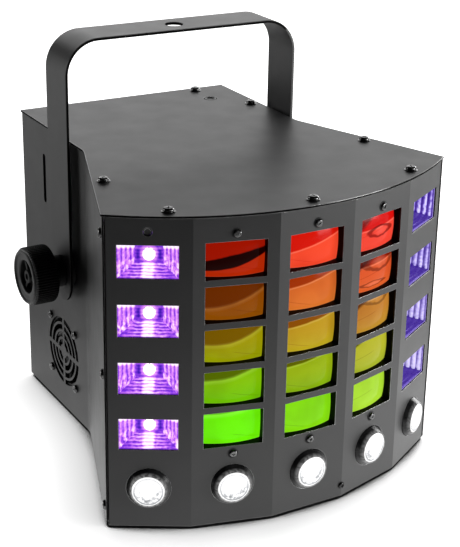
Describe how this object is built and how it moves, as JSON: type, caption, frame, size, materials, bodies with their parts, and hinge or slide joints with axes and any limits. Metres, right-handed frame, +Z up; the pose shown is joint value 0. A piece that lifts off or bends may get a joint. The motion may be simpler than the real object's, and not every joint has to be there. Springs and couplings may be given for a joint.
{
  "type": "derby light",
  "caption": "Box-shaped LED derby effect light with a folded front of coloured lenses, ultraviolet windows and strobe lamps, on a tilting U bracket with clamp knobs.",
  "frame": {"origin": "middle of the outer box, on the surface that the light stands on", "axes": "+Z up, -Y the way the middle facet of the front looks, +X to the right as seen from the front"},
  "size_m": [0.2366, 0.261, 0.267],
  "materials": {
    "black_steel": "satin black powder coat",
    "black_plastic": "fine moulded texture",
    "rubber": "matte",
    "red_lens": "polished, lit from behind",
    "orange_lens": "polished, lit from behind",
    "amber_lens": "polished, lit from behind",
    "lime_lens": "polished, lit from behind",
    "green_lens": "polished, lit from behind",
    "clear_lens": "clear moulded, lit white from behind",
    "reflector": "metallised and hammered, lit ultraviolet",
    "circuit_board": "green solder mask",
    "bare_aluminium": "satin",
    "plated_steel": "nickel plated",
    "display_window": "dark red filter"
  },
  "bodies": {
    "housing": {"base_plate": "black_steel", "left_side_panel": "black_steel", "right_side_panel": "black_steel", "front_panel": "black_steel", "rear_panel": "black_steel", "top_cover": "black_steel", "foot_front_left": "rubber", "foot_front_right": "rubber", "foot_rear_left": "rubber", "foot_rear_right": "rubber", "friction_washer_left": "rubber", "friction_washer_right": "rubber", "lens_frame_left": "black_plastic", "lens_frame_middle": "black_plastic", "lens_frame_right": "black_plastic", "derby_lens_left_red": "red_lens", "derby_lens_left_orange": "orange_lens", "derby_lens_left_amber": "amber_lens", "derby_lens_left_lime": "lime_lens", "derby_lens_left_green": "green_lens", "derby_lens_middle_red": "red_lens", "derby_lens_middle_orange": "orange_lens", "derby_lens_middle_amber": "amber_lens", "derby_lens_middle_lime": "lime_lens", "derby_lens_middle_green": "green_lens", "derby_lens_right_red": "red_lens", "derby_lens_right_orange": "orange_lens", "derby_lens_right_amber": "amber_lens", "derby_lens_right_lime": "lime_lens", "derby_lens_right_green": "green_lens", "uv_reflector_left": "reflector", "uv_reflector_right": "reflector", "uv_led_board_left": "circuit_board", "uv_led_board_right": "circuit_board", "strobe_lens_1": "clear_lens", "strobe_lens_2": "clear_lens", "strobe_lens_3": "clear_lens", "strobe_lens_4": "clear_lens", "strobe_lens_5": "clear_lens", "strobe_led_strip": "circuit_board", "heat_sink": "bare_aluminium", "derby_led_disc": "circuit_board", "gobo_motor": "plated_steel", "fan_frame": "black_plastic", "power_supply": "circuit_board", "control_board": "circuit_board", "display_window": "display_window", "power_inlet": "black_plastic", "dmx_in": "plated_steel", "dmx_out": "plated_steel"},
    "bracket": {"bracket": "black_steel"},
    "knob_left": {"clamp_knob_left": "black_plastic"},
    "knob_right": {"clamp_knob_right": "black_plastic"},
    "fan_rotor": {"fan_rotor": "black_plastic"},
    "gobo_wheel": {"gobo_wheel": "bare_aluminium"},
    "button_menu": {"button_menu": "black_plastic"},
    "button_down": {"button_down": "black_plastic"},
    "button_up": {"button_up": "black_plastic"},
    "button_enter": {"button_enter": "black_plastic"},
    "fuse_drawer": {"fuse_drawer": "black_plastic"}
  },
  "joints": [
    {"name": "bracket_tilt", "type": "hinge", "parent": "housing", "child": "bracket", "pos_m": [0, 0.0527, 0.11], "axis": [-1, 0, 0], "range_deg": [-12, 120]},
    {"name": "knob_left_turn", "type": "hinge", "parent": "housing", "child": "knob_left", "pos_m": [-0.0778, 0.0527, 0.11], "axis": [-1, 0, 0], "continuous": true},
    {"name": "knob_right_turn", "type": "hinge", "parent": "housing", "child": "knob_right", "pos_m": [0.0778, 0.0527, 0.11], "axis": [1, 0, 0], "continuous": true},
    {"name": "fan_spin", "type": "hinge", "parent": "housing", "child": "fan_rotor", "pos_m": [-0.0778, 0.0655, 0.0445], "axis": [-1, 0, 0], "continuous": true},
    {"name": "gobo_spin", "type": "hinge", "parent": "housing", "child": "gobo_wheel", "pos_m": [0, -0.0595, 0.118], "axis": [0, -1, 0], "continuous": true},
    {"name": "menu_press", "type": "slide", "parent": "housing", "child": "button_menu", "axis": [0, -1, 0], "range_m": [0, 0.0008], "stiffness_N_per_m": 400, "springref_m": -0.0005},
    {"name": "down_press", "type": "slide", "parent": "housing", "child": "button_down", "axis": [0, -1, 0], "range_m": [0, 0.0008], "stiffness_N_per_m": 400, "springref_m": -0.0005},
    {"name": "up_press", "type": "slide", "parent": "housing", "child": "button_up", "axis": [0, -1, 0], "range_m": [0, 0.0008], "stiffness_N_per_m": 400, "springref_m": -0.0005},
    {"name": "enter_press", "type": "slide", "parent": "housing", "child": "button_enter", "axis": [0, -1, 0], "range_m": [0, 0.0008], "stiffness_N_per_m": 400, "springref_m": -0.0005},
    {"name": "fuse_drawer_slide", "type": "slide", "parent": "housing", "child": "fuse_drawer", "axis": [0, 1, 0], "range_m": [0, 0.014]}
  ]
}
